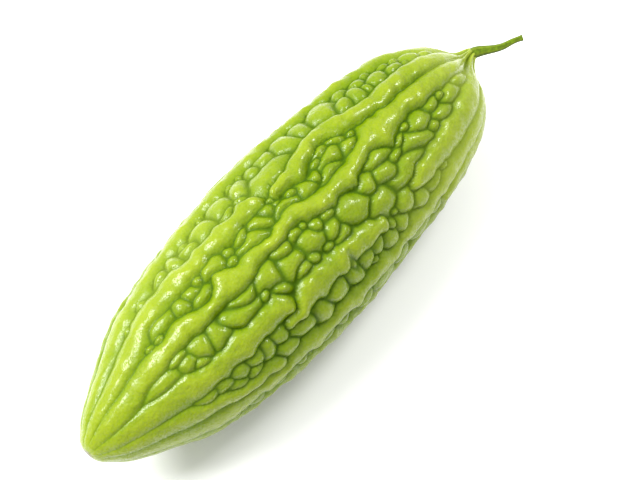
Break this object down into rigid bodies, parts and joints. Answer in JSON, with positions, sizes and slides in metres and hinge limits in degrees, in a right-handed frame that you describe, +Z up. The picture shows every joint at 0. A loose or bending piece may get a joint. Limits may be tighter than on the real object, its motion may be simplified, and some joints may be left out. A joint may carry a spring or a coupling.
{
  "type": "bitter gourd",
  "caption": "Fresh bitter gourd lying on its side, with wavy lengthwise ridges, rows of pebble-like warts, a blunt blossom tip and a short bent stalk.",
  "frame": {"origin": "on the surface that the gourd rests on, under the middle of its bounding box", "axes": "+X along the gourd from the blossom tip to the stalk, +Z up, so -Y is the side where the stalk bends to"},
  "size_m": [0.2319, 0.0715, 0.0705],
  "materials": {
    "skin": "satin, waxy fruit skin, lime green, darker in the creases",
    "stalk": "matt, fine lengthwise fibres, olive green with a pale cut end"
  },
  "bodies": {
    "root": {"fruit": "skin", "stalk": "stalk"}
  },
  "joints": []
}
